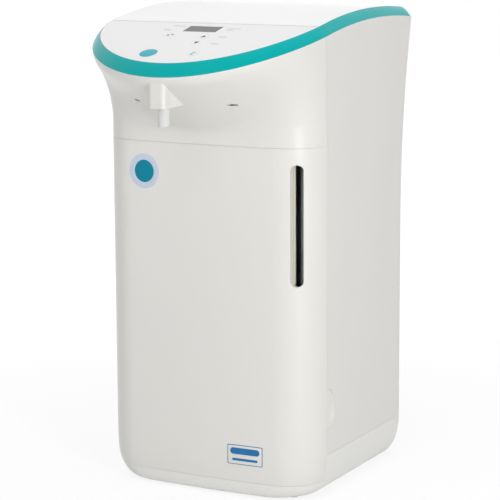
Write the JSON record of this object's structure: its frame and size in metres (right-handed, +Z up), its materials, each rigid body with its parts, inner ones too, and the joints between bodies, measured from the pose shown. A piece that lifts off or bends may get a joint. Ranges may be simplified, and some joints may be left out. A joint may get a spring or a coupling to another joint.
{
  "type": "ultrapure water system",
  "caption": "Bench-top ultrapure water system: white bowed housing, teal ring round an overhanging control head, spout, pull-off front cover and hinged lid.",
  "frame": {"origin": "on the bench plane, under the middle of the whole object's box", "axes": "+X across the width, to the right seen from the front; -Y towards the front; +Z up"},
  "size_m": [0.2996, 0.3765, 0.5703],
  "materials": {
    "shell_white": "satin",
    "shell_grey": "satin",
    "ring_teal": "gloss",
    "rubber_grey": "matte",
    "clear_plastic": "clear",
    "display_glass": "gloss",
    "natural_plastic": "translucent",
    "steel_sheet": "brushed",
    "stainless": "brushed",
    "cartridge_blue": "satin",
    "board_green": "matte",
    "motor_paint": "satin",
    "black_plastic": "matte",
    "brass_fitting": "satin",
    "key_teal": "satin",
    "key_white": "satin",
    "supply_metal": "matte",
    "tube_clear": "translucent"
  },
  "bodies": {
    "frame": {"base_tray": "shell_grey", "head_cover": "shell_white", "left_panel": "shell_grey", "right_panel": "shell_grey", "rear_panel": "shell_grey", "crown_ring": "ring_teal", "control_panel": "shell_white", "top_deck": "natural_plastic", "rubber_feet": "rubber_grey", "hinge_pins": "stainless", "cover_catches": "natural_plastic", "display_board": "board_green", "display_window": "display_glass", "bulkhead": "steel_sheet", "tank_shelf": "steel_sheet", "feed_tank": "natural_plastic", "tank_gasket": "rubber_grey", "float_stem": "natural_plastic", "level_tube": "clear_plastic", "level_fittings": "natural_plastic", "pretreatment_cartridge": "shell_white", "polishing_cartridge": "cartridge_blue", "cartridge_seats": "black_plastic", "cartridge_clips": "black_plastic", "manifold": "natural_plastic", "pump_motor": "motor_paint", "pump_head": "black_plastic", "pump_cradle": "rubber_grey", "uv_chamber": "stainless", "uv_clamps": "black_plastic", "final_filter": "natural_plastic", "filter_clip": "black_plastic", "resistivity_cell": "stainless", "head_shelf": "steel_sheet", "dispense_valve": "black_plastic", "valve_coil": "motor_paint", "nozzle": "clear_plastic", "supply_tube": "tube_clear", "pressure_tube": "tube_clear", "riser_tube": "tube_clear", "uv_tube": "tube_clear", "cell_tube": "tube_clear", "valve_tube": "tube_clear", "outlet_tube": "tube_clear", "drain_tube": "tube_clear", "drain_fitting": "brass_fitting", "power_supply": "supply_metal", "control_board": "board_green", "power_inlet": "black_plastic", "switch_frame": "black_plastic", "panel_screws": "stainless"},
    "front_cover_body": {"front_cover": "shell_white"},
    "top_lid_body": {"top_lid": "shell_white"},
    "tank_cap_body": {"tank_cap": "cartridge_blue"},
    "tank_float_body": {"tank_float": "natural_plastic"},
    "power_rocker_body": {"power_rocker": "black_plastic"},
    "menu_key_body": {"menu_key": "key_white"},
    "up_key_body": {"up_key": "key_white"},
    "down_key_body": {"down_key": "key_white"},
    "dispense_key_body": {"dispense_key": "key_teal"}
  },
  "joints": [
    {"name": "front_cover_pull", "type": "slide", "parent": "frame", "child": "front_cover_body", "axis": [0, -1, 0], "range_m": [0, 0.15]},
    {"name": "top_lid_hinge", "type": "hinge", "parent": "frame", "child": "top_lid_body", "pos_m": [0, 0.1715, 0.5599], "axis": [-1, 0, 0], "range_deg": [0, 75]},
    {"name": "tank_cap_turn", "type": "hinge", "parent": "frame", "child": "tank_cap_body", "pos_m": [0.038, 0.0955, 0.534], "axis": [0, 0, 1], "range_deg": [0, 90]},
    {"name": "float_slide", "type": "slide", "parent": "frame", "child": "tank_float_body", "axis": [0, 0, 1], "range_m": [0, 0.035]},
    {"name": "power_rocker_hinge", "type": "hinge", "parent": "frame", "child": "power_rocker_body", "pos_m": [-0.086, 0.1824, 0.168], "axis": [1, 0, 0], "range_deg": [0, 14]},
    {"name": "menu_key_press", "type": "slide", "parent": "frame", "child": "menu_key_body", "axis": [0, 0.258, -0.9661], "range_m": [0, 0.0004], "stiffness_N_per_m": 500, "springref_m": -0.0008},
    {"name": "up_key_press", "type": "slide", "parent": "frame", "child": "up_key_body", "axis": [0, 0.2587, -0.966], "range_m": [0, 0.0004], "stiffness_N_per_m": 500, "springref_m": -0.0008},
    {"name": "down_key_press", "type": "slide", "parent": "frame", "child": "down_key_body", "axis": [0, 0.2868, -0.958], "range_m": [0, 0.0004], "stiffness_N_per_m": 500, "springref_m": -0.0008},
    {"name": "dispense_key_press", "type": "slide", "parent": "frame", "child": "dispense_key_body", "axis": [0, 0.3256, -0.9455], "range_m": [0, 0.0004], "stiffness_N_per_m": 500, "springref_m": -0.0008}
  ]
}
